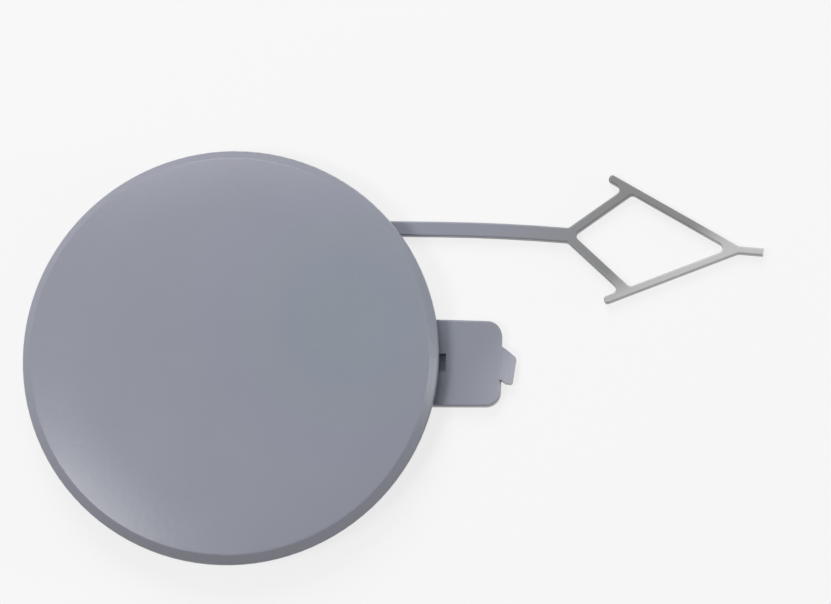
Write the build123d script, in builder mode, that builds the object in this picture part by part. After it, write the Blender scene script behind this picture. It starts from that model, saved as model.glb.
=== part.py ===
from build123d import *
import math
import os

# Bumper tow hook cover, moulded in one piece.
# The cover lies face up on its back: +Z is the way the face looks, and Z = 0 is the plane of the back edge.
# The origin is on the axis of the round face. +X points from that axis to the locating tab.

# Face plate: a domed disc with a bevelled edge, which lies flush in the bumper
cover_diameter = 70.0
cover_height = 7.0  # back edge of the skirt to the rim of the face
crown = 1.5  # how far the middle of the face stands above its rim
edge_height = 2.4  # underside of the plate to the rim of the face
bevel_width = 1.5  # rim of the face to the edge of the plate
bevel_drop = 1.6
rim_fillet = 0.5
edge_fillet = 0.8
face_wall = 2.2  # at the skirt and at the ring rib

# Skirt behind the plate, which passes through the opening in the bumper
skirt_inset = 2.8  # from the edge of the plate
skirt_wall = 2.0
underside_bevel = 0.5  # in the corner between the skirt and the plate
inner_bevel = 1.0  # in the corner between the skirt and the ceiling
back_edge_chamfer = 0.4

# Low ribs behind the face
rib_wall = 1.1
rib_setback = 4.4  # free edges of the ribs, ahead of the back edge
ring_rib_radius = 16.0
spoke_count = 6

# Snap finger in the skirt, opposite the tab
finger_arc = 28.0  # degrees of skirt between the middles of the two slots
finger_wall = 1.4
slot_width = 1.4
slot_height = 4.0
bead_arc = 20.0  # degrees
bead_height = 1.0
bead_foot = 0.6  # bead's lower edge, ahead of the back edge
bead_width = 1.4
bead_crest = 0.4

# Locating tab, behind the plate
tab_length = 10.15  # past the edge of the plate
tab_width = 14.3  # at its end
tab_taper = 0.8  # degrees, each side
tab_thickness = 2.0
tab_corner_radius = 2.5
tab_root_fillet = 2.0
pocket_width = 3.0
pocket_length = 2.1
pocket_reach = 0.9  # past the edge of the plate
pocket_depth = 1.2

# Catch nose on the end of the tab
nose_length = 2.2
nose_width = 4.5
nose_flare = 2.5  # added to its upper side at the root
nose_notch = 0.5  # taken off its lower side at the root
nose_drop = 0.87  # its middle, to the side of the tab's own
nose_lean = 7.7  # degrees
nose_rise = 0.4  # ridge above the front of the tab
nose_ridge = 1.0  # ridge past the end of the tab
nose_tip = 1.6  # height of its blunt end
nose_corner_radius = 0.4
nose_fillet = 0.4

# Retaining strap
strap_inset = 12.13  # its centre line, inside the edge of the plate
strap_width = 2.45
strap_thickness = 1.5
strap_straight = 34.5  # where the bend begins, from the cover's axis
strap_bend_radius = 295.0
strap_droop = 4.24  # degrees
strap_root_fillet = 3.0  # on the outer side, where the strap leaves the skirt
strap_crook_fillet = 0.8  # on the inner side

# Arrowhead anchor: an open diamond with two barbs and a tail
anchor_length = 28.7
anchor_half_width = 8.7
anchor_widest = 10.6  # neck to the middle of the widest line
anchor_lean = 0.53  # the widest line leans this far over the half width
arm_width = 1.55  # the two short sides, at the neck
strip_width = 1.25  # the two long sides, with the barbs
barb_length = 4.2
tail_length = 4.3
tail_width = 1.2
anchor_fillet = 0.8
barb_end_fillet = 0.5
edge_round = 0.3

cover_radius = cover_diameter / 2
rim_radius = cover_radius - bevel_width
skirt_radius = cover_radius - skirt_inset
hollow_radius = skirt_radius - skirt_wall
underside = cover_height - edge_height
apex = cover_height + crown
dome_radius = (rim_radius**2 + crown**2) / (2 * crown)
tab_end = cover_radius + tab_length
tab_base_width = tab_width + 2 * tab_end * math.tan(math.radians(tab_taper))
strap_offset = cover_radius - strap_inset  # to the side of the cover's axis


def ceiling_height(radius):
    """Height of the ceiling behind the face, at a distance from the axis."""
    return apex - dome_radius + math.sqrt(dome_radius**2 - radius**2) - face_wall


# The hollow behind the face, less the ribs: its ceiling is flat inside the ring rib and falls to the skirt
with BuildPart() as hollow:
    with BuildSketch(Plane.XZ) as section:
        with BuildLine():
            mouth = Line((0, 0), (hollow_radius + back_edge_chamfer, 0))
            lead_in = Line(mouth @ 1, (hollow_radius, back_edge_chamfer))
            wall = Line(lead_in @ 1, (hollow_radius, ceiling_height(hollow_radius)))
            slope = Line(wall @ 1, (ring_rib_radius, ceiling_height(ring_rib_radius)))
            flat = Line(slope @ 1, (0, ceiling_height(ring_rib_radius)))
            Line(flat @ 1, mouth @ 0)
        make_face()
        chamfer(section.vertices().sort_by_distance(wall @ 1)[0], inner_bevel)
    revolve(axis=Axis.Z)
    with BuildSketch(Plane.XY.offset(rib_setback)):
        Circle(ring_rib_radius + rib_wall / 2)
        Circle(ring_rib_radius - rib_wall / 2, mode=Mode.SUBTRACT)
        spoke_middle = (ring_rib_radius + skirt_radius) / 2
        with PolarLocations(spoke_middle, spoke_count, start_angle=180 / spoke_count):
            Rectangle(skirt_radius - ring_rib_radius, rib_wall)
    extrude(amount=apex, mode=Mode.SUBTRACT)

# The plate and the skirt as one solid turning, with the snap bead
with BuildPart() as cover:
    with BuildSketch(Plane.XZ) as section:
        with BuildLine():
            back = Line((0, 0), (skirt_radius, 0))
            skirt = Line(back @ 1, (skirt_radius, underside))
            overhang = Line(skirt @ 1, (cover_radius, underside))
            edge = Line(overhang @ 1, (cover_radius, cover_height - bevel_drop))
            bevel = Line(edge @ 1, (rim_radius, cover_height))
            dome = RadiusArc(bevel @ 1, (0, apex), -dome_radius)
            Line(dome @ 1, back @ 0)
        make_face()
        for corner, length in ((skirt @ 0, back_edge_chamfer), (skirt @ 1, underside_bevel)):
            chamfer(section.vertices().sort_by_distance(corner)[0], length)
        for corner, radius in ((bevel @ 0, edge_fillet), (bevel @ 1, rim_fillet)):
            fillet(section.vertices().sort_by_distance(corner)[0], radius)
    revolve(axis=Axis.Z)
    bead_start = Plane.XZ.rotated((0, 0, 180 - bead_arc / 2))
    with BuildSketch(bead_start):
        with BuildLine():
            Polyline(
                (hollow_radius, bead_foot),
                (skirt_radius, bead_foot),
                (skirt_radius + bead_height, bead_foot + (bead_width - bead_crest) / 2),
                (skirt_radius + bead_height, bead_foot + (bead_width + bead_crest) / 2),
                (skirt_radius, bead_foot + bead_width),
                (hollow_radius, bead_foot + bead_width),
                close=True,
            )
        make_face()
    revolve(axis=Axis.Z, revolution_arc=bead_arc)

    # Locating tab, level with the back edge, with a hollow fillet at its root
    with BuildSketch():
        with BuildLine():
            Polyline(
                (0, tab_base_width / 2),
                (tab_end, tab_width / 2),
                (tab_end, -tab_width / 2),
                (0, -tab_base_width / 2),
                close=True,
            )
        tongue = make_face()
        fillet(tongue.vertices().group_by(Axis.X)[-1], tab_corner_radius)
    extrude(amount=tab_thickness)
    rims = cover.edges().filter_by(GeomType.CIRCLE).filter_by(Plane.XY)
    root_middle = (skirt_radius, 0, tab_thickness)
    fillet(rims.sort_by_distance(root_middle)[:2], tab_root_fillet)

    # Its edges are rounded along the front, up the ends of the fillet and down the crooks at the skirt
    front = cover.faces().filter_by(Axis.Z).sort_by_distance((tab_end, 0, tab_thickness))[0]
    tangent_arcs = front.edges().filter_by(GeomType.CIRCLE).group_by(SortBy.RADIUS)[-1]
    rounded = front.edges() - tangent_arcs + cover.edges().filter_by(GeomType.BSPLINE)
    for side in (1, -1):
        crook = (skirt_radius, side * tab_base_width / 2, 0)
        rounded += cover.edges().filter_by(Axis.Z).sort_by_distance(crook)[:1]
    fillet(rounded, edge_round)

# Catch nose: its outline from the front, cut to its wedge section from the side
nose_plane = Plane((tab_end, -nose_drop, 0)).rotated((0, 0, -nose_lean))
nose_side = Plane(nose_plane.origin, x_dir=nose_plane.x_dir, z_dir=-nose_plane.y_dir)
with BuildPart() as nose:
    with BuildSketch(nose_plane):
        with BuildLine():
            Polyline(
                (-nose_length, nose_width / 2 + nose_flare),
                (nose_length, nose_width / 2),
                (nose_length, -nose_width / 2),
                (nose_length / 2, -nose_width / 2),
                (0, nose_notch - nose_width / 2),
                (-nose_length, nose_notch - nose_width / 2),
                close=True,
            )
        outline = make_face()
        fillet(outline.vertices().group_by(Axis.X)[-1], nose_corner_radius)
    extrude(amount=apex)
    with BuildSketch(nose_side):
        with BuildLine():
            Polyline(
                (-nose_length, 0),
                (-nose_length, tab_thickness),
                (0, tab_thickness),
                (nose_ridge, tab_thickness + nose_rise),
                (nose_length, nose_tip),
                (nose_length, 0),
                close=True,
            )
        make_face()
    extrude(amount=2 * nose_width, both=True, mode=Mode.INTERSECT)

# Strap and anchor, flat on the plane of the back edge
with BuildPart() as strap:
    with BuildSketch():
        with BuildLine():
            run = Line((0, strap_offset), (strap_straight, strap_offset))
            bend = JernArc(run @ 1, run % 1, strap_bend_radius, -strap_droop)
        trace(line_width=strap_width)
    extrude(amount=strap_thickness)

    # The strap runs half an arm's width into the neck of the anchor
    anchor_plane = Plane(bend @ 1 - bend % 1 * arm_width / 2, x_dir=bend % 1, z_dir=(0, 0, 1))
    neck = Vector(0, 0)
    upper_corner = Vector(anchor_widest - anchor_lean, anchor_half_width)
    lower_corner = Vector(anchor_widest + anchor_lean, -anchor_half_width)
    point = Vector(anchor_length, 0)
    with BuildSketch(anchor_plane):
        kite = Polygon(neck, lower_corner, point, upper_corner, align=None)
        offset(kite, amount=strip_width / 2, kind=Kind.INTERSECTION)
        offset(kite, amount=-strip_width / 2, kind=Kind.INTERSECTION, mode=Mode.SUBTRACT)
        barb_ends = []
        for corner in (upper_corner, lower_corner):
            with BuildLine():
                Line(neck, corner)
            trace(line_width=arm_width)
            with BuildLine():
                barb = PolarLine(corner, barb_length, direction=corner - point)
            trace(line_width=strip_width)
            barb_ends.append(barb @ 1)
        with BuildLine():
            Line(point - Vector(strip_width / 2, 0), point + Vector(tail_length, 0))
        trace(line_width=tail_width)
    extrude(amount=strap_thickness)

    # Hollow fillets where strips meet: three at the neck and the point, two at each barb
    for corner, meeting in ((neck, 3), (point, 3), (upper_corner, 2), (lower_corner, 2)):
        uprights = strap.edges().filter_by(Axis.Z)
        joint = anchor_plane.from_local_coords(corner)
        fillet(uprights.sort_by_distance(joint)[:meeting], anchor_fillet)
    for end in barb_ends:
        uprights = strap.edges().filter_by(Axis.Z)
        fillet(uprights.sort_by_distance(anchor_plane.from_local_coords(end))[:2], barb_end_fillet)
    fillet(strap.faces().sort_by(Axis.Z)[-1].edges(), edge_round)

# The whole moulding
with BuildPart() as moulding:
    add(cover.part)
    add(nose.part)
    add(strap.part)
    nose_crook = (tab_end, (nose_width + nose_flare) / 2 - nose_drop, 0)
    fillet(moulding.edges().filter_by(Axis.Z).sort_by_distance(nose_crook)[0], nose_fillet)

    # Rounded crooks where the strap leaves the skirt, a little lower than the strap's rounded top
    with BuildSketch() as strap_root:
        Circle(skirt_radius)
        with Locations((strap_straight / 2, strap_offset)):
            Rectangle(strap_straight, strap_width)
        for side, radius in ((1, strap_root_fillet), (-1, strap_crook_fillet)):
            reach = strap_offset + side * strap_width / 2
            crook = (math.sqrt(skirt_radius**2 - reach**2), reach)
            fillet(strap_root.vertices().sort_by_distance(crook)[0], radius)
        with Locations((crook[0], strap_offset)):
            Rectangle(4 * strap_width, 4 * strap_width, mode=Mode.INTERSECT)
    extrude(amount=strap_thickness - edge_round)
    add(hollow.part, mode=Mode.SUBTRACT)

    # Two slots free the snap finger, and its inside is cut back to its own wall
    with BuildSketch():
        with PolarLocations(skirt_radius, 2, 180 - finger_arc / 2, finger_arc, endpoint=True):
            Rectangle(4 * skirt_wall, slot_width)
    extrude(amount=slot_height, mode=Mode.SUBTRACT)
    with BuildSketch(Plane.XZ.rotated((0, 0, 180 - finger_arc / 2))):
        with Locations((skirt_radius - finger_wall, 0)):
            Rectangle(skirt_wall, slot_height, align=(Align.MAX, Align.MIN))
    revolve(axis=Axis.Z, revolution_arc=finger_arc, mode=Mode.SUBTRACT)

    # Pocket in the front of the tab, half under the plate
    with BuildSketch(Plane.XY.offset(tab_thickness)):
        with Locations((cover_radius + pocket_reach, 0)):
            Rectangle(pocket_length, pocket_width, align=(Align.MAX, Align.CENTER))
    extrude(amount=-pocket_depth, mode=Mode.SUBTRACT)

os.makedirs("parts", exist_ok=True)
moulding.part.label = "tow_hook_cover"
export_step(moulding.part, "parts/tow_hook_cover.step")
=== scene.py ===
"""Looks of the bumper tow hook cover: its primer coat, a plain studio and the camera."""

import logging
import math
from dataclasses import dataclass
from enum import Enum

import bpy
from mathutils import Matrix, Vector

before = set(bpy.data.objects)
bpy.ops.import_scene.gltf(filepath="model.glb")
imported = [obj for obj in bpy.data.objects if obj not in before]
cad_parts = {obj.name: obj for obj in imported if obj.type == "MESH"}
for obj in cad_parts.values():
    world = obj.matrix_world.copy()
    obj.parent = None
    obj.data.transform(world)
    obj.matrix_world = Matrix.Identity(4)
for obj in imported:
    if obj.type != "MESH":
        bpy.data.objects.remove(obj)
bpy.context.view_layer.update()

log = logging.getLogger("tow_hook_cover")

Place = tuple[float, float]
Direction = tuple[float, float, float]
Colour = tuple[float, float, float]

MM = 0.001
PHOTO_WIDTH = 831
PHOTO_HEIGHT = 604
WHITE: Colour = (1.0, 1.0, 1.0)
PAPER: Colour = (0.965, 0.965, 0.965)

# Power of a lamp, in watts, that shows a white surface one metre away as just white.
PLAIN_POWER = math.pi**2


class Space(Enum):
    """What a pattern is laid out by."""

    OBJECT = "Object"
    NORMAL = "Normal"


class Rise(Enum):
    """How a value goes from 0 to 1."""

    EVEN = "LINEAR"
    SMOOTH = "SMOOTHSTEP"


class Ray(Enum):
    """Rays that see the plain colour of the background."""

    CAMERA = "Is Camera Ray"
    GLOSSY = "Is Glossy Ray"
    TRANSMISSION = "Is Transmission Ray"


class Signal:
    """A number that travels through a node tree, with Python's operators as Math nodes."""

    def __init__(self, tree: bpy.types.NodeTree, socket: bpy.types.NodeSocket) -> None:
        """Wraps one output socket.

        Args:
            tree: The node tree that the socket belongs to.
            socket: The output socket.
        """
        self.tree = tree
        self.socket = socket

    def _math(self, operation: str, *operands: "Signal | float") -> "Signal":
        """Adds one Math node.

        Args:
            operation: The node's operation, such as ADD.
            operands: The values or signals that go into it, in order.

        Returns:
            The node's result.
        """
        node = self.tree.nodes.new("ShaderNodeMath")
        node.operation = operation
        for socket, operand in zip(node.inputs, operands):
            if isinstance(operand, Signal):
                self.tree.links.new(operand.socket, socket)
            else:
                socket.default_value = operand
        return Signal(self.tree, node.outputs[0])

    def __add__(self, other: "Signal | float") -> "Signal":
        """Adds two values."""
        return self._math("ADD", self, other)

    def __radd__(self, other: float) -> "Signal":
        """Adds a signal to a number."""
        return self._math("ADD", other, self)

    def __sub__(self, other: "Signal | float") -> "Signal":
        """Takes one value from another."""
        return self._math("SUBTRACT", self, other)

    def __rsub__(self, other: float) -> "Signal":
        """Takes a signal from a number."""
        return self._math("SUBTRACT", other, self)

    def __mul__(self, other: "Signal | float") -> "Signal":
        """Multiplies two values."""
        return self._math("MULTIPLY", self, other)

    def __rmul__(self, other: float) -> "Signal":
        """Multiplies a number by a signal."""
        return self._math("MULTIPLY", other, self)


Feed = Signal | bpy.types.NodeSocket | float | tuple[float, ...]


def opaque(colour: Colour) -> tuple[float, float, float, float]:
    """Gives a colour the alpha that a node's socket asks for."""
    return (*colour, 1.0)


class Graph:
    """The node tree of a material or of the world, built one call at a time."""

    def __init__(self, owner: bpy.types.Material | bpy.types.World) -> None:
        """Empties the owner's tree.

        Args:
            owner: The material or world that the nodes belong to.
        """
        owner.use_nodes = True
        self.tree = owner.node_tree
        self.tree.nodes.clear()

    def node(
        self,
        kind: str,
        settings: dict[str, str] | None = None,
        inputs: tuple[Feed, ...] = (),
        **sockets: Feed,
    ) -> bpy.types.Node:
        """Adds one node, sets its options and fills its sockets.

        Args:
            kind: The node's type, without the ShaderNode prefix.
            settings: The node's own options, set before its sockets.
            inputs: Values, signals or output sockets for its first inputs, in order.
            sockets: The same by input name, with _ for a blank.

        Returns:
            The new node.
        """
        node = self.tree.nodes.new("ShaderNode" + kind)
        for option, choice in (settings or {}).items():
            setattr(node, option, choice)
        filled = list(zip(node.inputs, inputs))
        for name, value in sockets.items():
            label = name.replace("_", " ")
            named = next(one for one in node.inputs if one.name == label and one.enabled)
            filled.append((named, value))
        for socket, value in filled:
            if isinstance(value, Signal):
                value = value.socket
            if isinstance(value, bpy.types.NodeSocket):
                self.tree.links.new(value, socket)
            else:
                socket.default_value = value
        return node

    def signal(self, node: bpy.types.Node, output: str) -> Signal:
        """Takes one output of a node as a number."""
        return Signal(self.tree, node.outputs[output])

    def coordinates(self, space: Space) -> bpy.types.NodeSocket:
        """Gives the coordinates that a pattern is laid out by."""
        return self.node("TexCoord").outputs[space.value]

    def noise(self, grain: float) -> Signal:
        """Adds noise on the object's own coordinates.

        Args:
            grain: The size of its cells, in metres.

        Returns:
            The noise, from 0 to 1 and about 0.5 on average.
        """
        place = self.coordinates(Space.OBJECT)
        return Signal(self.tree, self.node("TexNoise", Vector=place, Scale=1.0 / grain).outputs[0])

    def mottle(self, grain: float, depth: float) -> Signal:
        """Adds noise that goes equally far above and below zero.

        Args:
            grain: The size of its cells, in metres.
            depth: How far its lowest and highest values lie apart.

        Returns:
            The noise.
        """
        return (self.noise(grain) - 0.5) * depth

    def rise(self, value: Signal, start: float, end: float, way: Rise = Rise.SMOOTH) -> Signal:
        """Goes from 0 to 1 as a value goes from start to end.

        Args:
            value: The value to follow.
            start: Where the rise begins.
            end: Where it ends.
            way: How it rises between them.

        Returns:
            The share of the rise, from 0 to 1.
        """
        settings = {"interpolation_type": way.value}
        span = self.node("MapRange", settings, Value=value, From_Min=start, From_Max=end)
        return self.signal(span, "Result")

    def reach(self, centre: Place) -> Signal:
        """Measures how far a point lies from an upright line.

        Args:
            centre: Where the line stands.

        Returns:
            The distance, in metres.
        """
        level = (1.0, 1.0, 0.0)
        shift = (-centre[0], -centre[1], 0.0)
        terms = (self.coordinates(Space.OBJECT), level, shift)
        offset = self.node("VectorMath", {"operation": "MULTIPLY_ADD"}, terms).outputs[0]
        return self.signal(self.node("VectorMath", {"operation": "LENGTH"}, (offset,)), "Value")

    def facing(self, direction: Direction) -> Signal:
        """Measures how far the surface faces a direction, from -1 to 1."""
        pair = (self.coordinates(Space.NORMAL), direction)
        return self.signal(self.node("VectorMath", {"operation": "DOT_PRODUCT"}, pair), "Value")

    def blend(self, share: Signal, first: Feed, second: Feed) -> bpy.types.NodeSocket:
        """Mixes two colours.

        Args:
            share: How much of the second colour shows.
            first: The first colour, as a value or a socket.
            second: The second colour, as a value or a socket.

        Returns:
            The mixed colour.
        """
        mix = self.node("Mix", {"data_type": "RGBA"}, Factor=share, A=first, B=second)
        return next(one for one in mix.outputs if one.enabled)

    def shade(self, colour: Feed, level: Signal) -> bpy.types.NodeSocket:
        """Multiplies a colour by a number.

        Args:
            colour: The colour's socket.
            level: The number.

        Returns:
            The lighter or darker colour.
        """
        settings = {"operation": "SCALE"}
        return self.node("VectorMath", settings, Vector=colour, Scale=level).outputs[0]

    def lit_or_plain(self, lit: bpy.types.Node, plain: bpy.types.Node, share: float) -> bpy.types.Node:
        """Shows rays that look at the background a plain colour, and gives all others the light.

        Args:
            lit: The shader that lights the cover.
            plain: The shader with the plain colour.
            share: How much of the plain colour those rays see.

        Returns:
            The mixed shader.
        """
        path = self.node("LightPath")
        seen = sum(self.signal(path, ray.value) for ray in Ray)
        return self.node("MixShader", None, (seen * share, lit.outputs[0], plain.outputs[0]))


@dataclass(frozen=True)
class PrimerCoat:
    """Grey paint primer over a darker plastic, coated from the front and the strap's side; its colour
    also carries painted shade and painted light.
    """

    name: str = "grey_primer"

    # The face is bluish, with a cooler patch right of its middle. The plastic shows where the surface
    # faces away from the front and the strap's side, partly as thinner primer and partly as painted
    # shade on faces turned from the lamps, and at most by the share given below.
    face: Colour = (0.289, 0.298, 0.362)
    cool: Colour = (0.262, 0.298, 0.350)
    cool_centre: Place = (20.0 * MM, 6.0 * MM)
    cool_reach: float = 30.0 * MM
    plastic: Colour = (0.165, 0.168, 0.175)
    spray_and_light: Direction = (-0.12, 0.52, 0.84)
    full_spray_and_light: float = 0.7
    missed_spray_and_shade: float = -0.3
    bare_and_shade_share: float = 0.6

    # Along the strap the coat turns neutral grey.
    strap: Colour = (0.257, 0.260, 0.257)
    strap_start: float = 37.0 * MM
    strap_end: float = 67.0 * MM

    # It is darker at the tab's root, painted shade under the plate's edge, and lighter at its tip, a
    # painted highlight. That change fades out over the margin, in the gap between the tab and the
    # strap.
    tab_half_width: float = 9.0 * MM
    tab_margin: float = 4.5 * MM
    tab_root: float = 36.0 * MM
    tab_end: float = 45.5 * MM
    root_painted_shade: float = 0.08
    root_rise: float = 2.0 * MM
    tip_painted_light: float = 0.06
    tip_rise: float = 1.5 * MM

    # The anchor's lower strip and tail carry painted light, a lighter colour for light falling on
    # them. The lean is the slope of a line through the neck, where the strap ends, and the start and
    # end are how far below that line the painted light sets in and is full.
    neck: Place = (55.5 * MM, 22.1 * MM)
    painted_light_lean: float = 0.6
    painted_light_start: float = 9.5 * MM
    painted_light_end: float = 18.5 * MM
    painted_light_gain: float = 1.35

    # Unevenness: the clouds and specks are shares of the colour, the peel is a height.
    cloud_grain: float = 14.0 * MM
    cloud_depth: float = 0.05
    speck_grain: float = 0.5 * MM
    speck_depth: float = 0.06
    peel_grain: float = 1.1 * MM
    peel_depth: float = 0.016 * MM

    # The face falls a little faster than its dome towards the rim, by this slope at the end.
    shoulder_start: float = 24.0 * MM
    shoulder_end: float = 33.3 * MM
    shoulder_slope: float = 0.08

    roughness: float = 0.31
    roughness_spread: float = 0.1

    def colour(self, graph: Graph) -> bpy.types.NodeSocket:
        """Lays out the coat's colour.

        Args:
            graph: The material's tree.

        Returns:
            The colour's socket.
        """
        axes = graph.node("SeparateXYZ", Vector=graph.coordinates(Space.OBJECT))
        along = graph.signal(axes, "X")
        across = graph.signal(axes, "Y")
        on_strap = graph.rise(along, self.strap_start, self.strap_end)
        patch = 1.0 - graph.rise(graph.reach(self.cool_centre), 0.0, self.cool_reach)
        coat = graph.blend(patch, opaque(self.face), opaque(self.cool))
        coat = graph.blend(on_strap, coat, opaque(self.strap))

        # Painted light on the anchor's lower strip and tail.
        slant = (along - self.neck[0]) * self.painted_light_lean - (across - self.neck[1])
        painted_light = graph.rise(slant, self.painted_light_start, self.painted_light_end) * on_strap
        clouds = graph.mottle(self.cloud_grain, self.cloud_depth)
        specks = graph.mottle(self.speck_grain, self.speck_depth)
        coat = graph.shade(coat, 1.0 + painted_light * self.painted_light_gain + clouds + specks)
        # Painted shade at the tab's root and a painted highlight on its tip.
        coat = graph.shade(coat, self.tab_painted_shade_and_light(graph, along, across))

        # Thinner primer and painted shade: surfaces turned from the front and the strap's side go
        # towards the plastic colour.
        sprayed_and_lit = graph.rise(graph.facing(self.spray_and_light), self.missed_spray_and_shade, self.full_spray_and_light)
        bare_and_shaded = (1.0 - sprayed_and_lit) * self.bare_and_shade_share
        return graph.blend(bare_and_shaded, coat, opaque(self.plastic))

    def tab_painted_shade_and_light(self, graph: Graph, along: Signal, across: Signal) -> Signal:
        """Paints shade at the tab's root, under the plate's edge, and a painted highlight on its tip.

        Args:
            graph: The material's tree.
            along: The X coordinate.
            across: The Y coordinate.

        Returns:
            How light the painted shade and highlight leave the coat, 1 where nothing changes.
        """
        beside = graph.rise(across, self.tab_half_width, self.tab_half_width + self.tab_margin)
        past_edge = graph.rise(along, self.tab_root - self.root_rise, self.tab_root)
        root = past_edge - graph.rise(along, self.tab_root, self.tab_end, Rise.EVEN)
        tip = graph.rise(along, self.tab_end - self.tip_rise, self.tab_end)
        change = tip * self.tip_painted_light - root * self.root_painted_shade
        return 1.0 + change * (1.0 - beside)

    def relief(self, graph: Graph) -> Signal:
        """Lays out the fine relief: orange peel, and the face's fall towards its rim.

        The fall's slope grows evenly from nothing, so its depth grows with the square.

        Args:
            graph: The material's tree.

        Returns:
            The height, in metres.
        """
        depth = self.shoulder_slope * (self.shoulder_end - self.shoulder_start) / 2
        radius = graph.reach((0.0, 0.0))
        share = graph.rise(radius, self.shoulder_start, self.shoulder_end, Rise.EVEN)
        return graph.noise(self.peel_grain) * self.peel_depth - share * share * depth

    def material(self) -> bpy.types.Material:
        """Builds the finish.

        Returns:
            The material.
        """
        finish = bpy.data.materials.new(self.name)
        graph = Graph(finish)
        bump = graph.node("Bump", Strength=1.0, Distance=1.0, Height=self.relief(graph))
        shader = graph.node(
            "BsdfPrincipled",
            Base_Color=self.colour(graph),
            Roughness=self.roughness + graph.mottle(self.cloud_grain, self.roughness_spread),
            Normal=bump.outputs[0],
        )
        graph.node("OutputMaterial", Surface=shader.outputs[0])
        return finish


@dataclass(frozen=True)
class StudioFloor:
    """Finish of the white table top that the cover lies on."""

    name: str = "studio_floor"
    colour: Colour = (0.93, 0.93, 0.93)
    shadow: float = 0.2

    def material(self) -> bpy.types.Material:
        """Builds the finish: most of what is seen is the plain colour, and the rest is lit.

        Returns:
            The material.
        """
        finish = bpy.data.materials.new(self.name)
        graph = Graph(finish)
        lit = graph.node("BsdfDiffuse", Color=opaque(self.colour))
        plain = graph.node("Emission", Color=opaque(PAPER), Strength=1.0)
        mixed = graph.lit_or_plain(lit, plain, 1.0 - self.shadow)
        graph.node("OutputMaterial", Surface=mixed.outputs[0])
        return finish


@dataclass(frozen=True)
class TowHookCover:
    """The moulding itself."""

    node: str = "tow_hook_cover"
    coat: PrimerCoat = PrimerCoat()

    def dress(self) -> None:
        """Gives the moulding its coat."""
        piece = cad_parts[self.node]
        piece.data.materials.clear()
        piece.data.materials.append(self.coat.material())


@dataclass(frozen=True)
class Lamp:
    """One soft square lamp that looks at the cover.

    Its azimuth and elevation are in degrees, its size and distance are in metres, and its level
    is its share of the plain level on a surface that faces it.
    """

    name: str
    azimuth: float
    elevation: float
    size: float
    level: float
    distance: float = 1.0

    def hang(self) -> None:
        """Adds the lamp to the scene."""
        around = math.radians(self.azimuth)
        above = math.radians(self.elevation)
        level = math.cos(above)
        heading = Vector((level * math.cos(around), level * math.sin(around), math.sin(above)))
        light = bpy.data.lights.new(self.name, "AREA")
        light.shape = "SQUARE"
        light.size = self.size
        light.energy = self.level * PLAIN_POWER * self.distance**2
        lamp = bpy.data.objects.new(self.name, light)
        lamp.location = heading * self.distance
        lamp.rotation_euler = heading.to_track_quat("Z", "Y").to_euler()
        bpy.context.scene.collection.objects.link(lamp)


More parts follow.
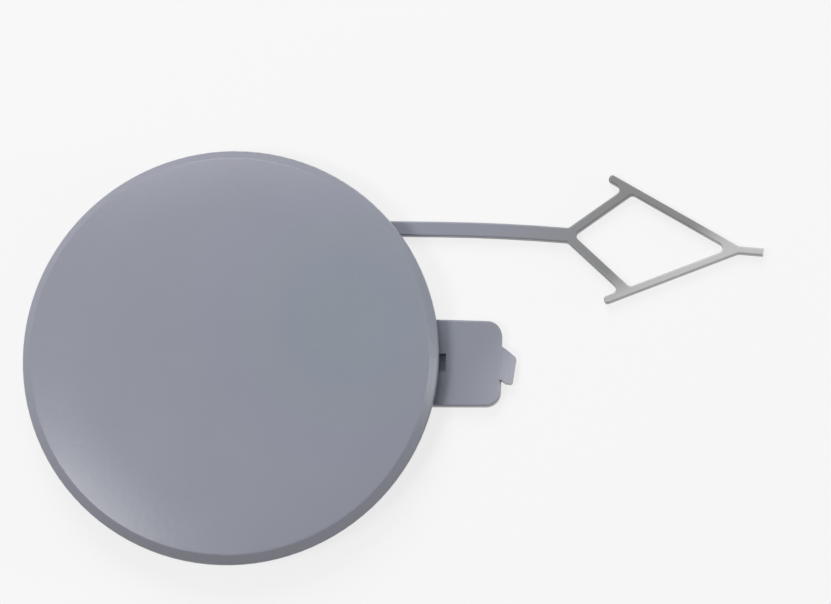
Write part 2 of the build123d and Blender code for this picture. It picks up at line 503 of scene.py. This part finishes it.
@dataclass(frozen=True)
class Studio:
    """Floor, lamps, world and camera."""

    # The left lamp's sheen makes the light crescent at the lower left of the rim, and the right
    # one lights the rim's right side and the nose.
    lamps: tuple[Lamp, ...] = (
        Lamp("window", azimuth=104.0, elevation=39.0, size=0.6, level=0.54),
        Lamp("left", azimuth=204.0, elevation=60.0, size=0.26, level=0.31),
        Lamp("right", azimuth=3.0, elevation=12.0, size=0.25, level=0.24),
    )
    world_level: float = 0.235
    floor_size: float = 4.0

    # The camera looks along a line that leans from the face's axis by the tilt, towards the
    # azimuth, and is rolled about it.
    target: Direction = (0.0, 0.0, 7.0 * MM)
    distance: float = 600.0 * MM
    axis_tilt: float = math.radians(11.15)
    axis_azimuth: float = math.radians(-64.18)
    roll: float = math.radians(-65.46)
    film_width: float = 36.0
    clip_start: float = 10.0 * MM

    # Where the target lies in the photograph, in pixels, and the scale there.
    disc_centre: Place = (228.5, 354.2)
    pixels_per_mm: float = 6.008

    def camera(self) -> None:
        """Places the camera as the photograph's stood, moved level with its film to frame it."""
        up = Vector((0.0, 0.0, 1.0))
        lean = Vector((math.cos(self.axis_azimuth), math.sin(self.axis_azimuth), 0.0))
        back = math.cos(self.axis_tilt) * up + math.sin(self.axis_tilt) * lean
        fore = math.cos(self.axis_tilt) * lean - math.sin(self.axis_tilt) * up
        side = back.cross(fore)
        right = math.cos(self.roll) * fore - math.sin(self.roll) * side
        top = math.sin(self.roll) * fore + math.cos(self.roll) * side

        pixel = MM / self.pixels_per_mm
        shift = right * (PHOTO_WIDTH / 2 - self.disc_centre[0]) * pixel
        shift += top * (self.disc_centre[1] - PHOTO_HEIGHT / 2) * pixel
        place = Vector(self.target) + shift + back * self.distance

        lens = bpy.data.cameras.new("camera")
        lens.sensor_width = self.film_width
        lens.lens = self.distance / pixel * self.film_width / PHOTO_WIDTH
        lens.clip_start = self.clip_start
        camera = bpy.data.objects.new("camera", lens)
        bpy.context.scene.collection.objects.link(camera)
        turn = Matrix((right, top, back)).transposed()
        camera.matrix_world = Matrix.Translation(place) @ turn.to_4x4()
        bpy.context.scene.camera = camera

    def floor(self) -> None:
        """Lays the table top."""
        bpy.ops.object.select_all(action="DESELECT")
        bpy.ops.mesh.primitive_plane_add(size=self.floor_size)
        floor = bpy.context.object
        floor.name = "floor"
        floor.data.materials.append(StudioFloor().material())

    def world(self) -> None:
        """Fills the studio with even light, and shows it as pale as the table top."""
        world = bpy.data.worlds.new("studio")
        graph = Graph(world)
        lit = graph.node("Background", Color=opaque(WHITE), Strength=self.world_level)
        plain = graph.node("Background", Color=opaque(PAPER), Strength=1.0)
        mixed = graph.lit_or_plain(lit, plain, 1.0)
        graph.node("OutputWorld", Surface=mixed.outputs[0])
        bpy.context.scene.world = world

    def build(self) -> None:
        """Sets up the whole studio, with colours shown as they are written."""
        self.floor()
        self.world()
        for lamp in self.lamps:
            lamp.hang()
        self.camera()
        bpy.context.scene.view_settings.view_transform = "Standard"


def main() -> None:
    """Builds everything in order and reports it."""
    cover = TowHookCover()
    cover.dress()
    log.info("%s has its %s coat", cover.node, cover.coat.name)
    studio = Studio()
    studio.build()
    log.info("studio has its floor, world, camera and %d lamps", len(studio.lamps))


if __name__ == "__main__":
    logging.basicConfig(level=logging.INFO)
    main()
